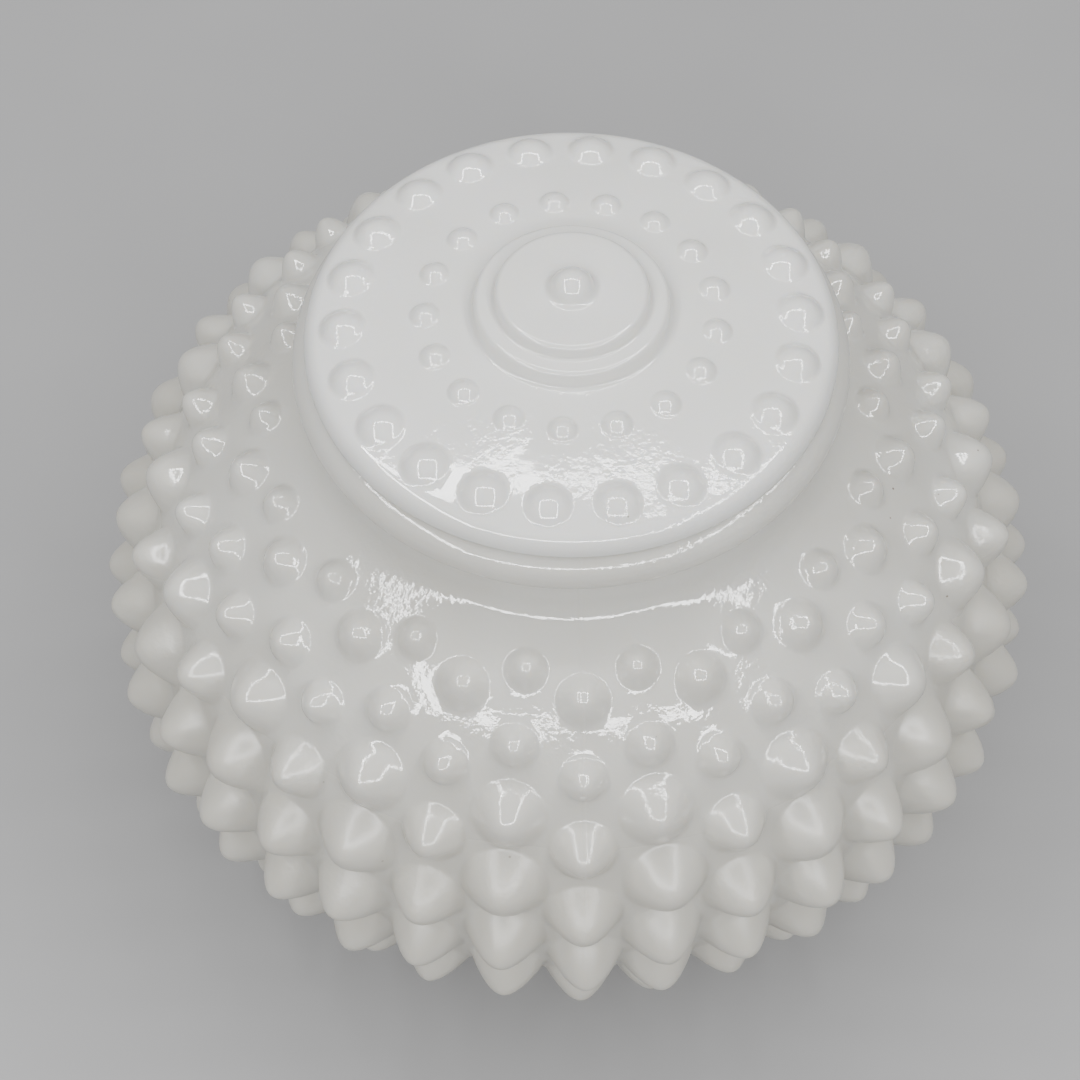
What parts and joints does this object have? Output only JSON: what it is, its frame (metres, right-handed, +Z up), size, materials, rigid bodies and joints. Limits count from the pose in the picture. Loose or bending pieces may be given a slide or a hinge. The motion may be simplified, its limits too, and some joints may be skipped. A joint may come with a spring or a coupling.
{
  "type": "cream jar",
  "caption": "Squat round covered jar of white opal glass with pointed knobs all over its bowl, a beaded rim, and a low domed lid with dots and a stepped button.",
  "frame": {"origin": "centre of the foot, on the plane that the jar stands on", "axes": "+Z up along the jar's axis, from the foot to the lid's button; the mould seam is near -Y"},
  "size_m": [0.1256, 0.125, 0.0991],
  "materials": {
    "jar_glass": "gloss, opaque white pressed opal glass",
    "lid_glass": "gloss, opaque white pressed opal glass"
  },
  "bodies": {
    "jar_body": {"jar": "jar_glass"},
    "lid_body": {"lid": "lid_glass"}
  },
  "joints": [
    {"name": "lid_lift", "type": "slide", "parent": "jar_body", "child": "lid_body", "axis": [0, 0, 1], "range_m": [0, 0.06]}
  ]
}
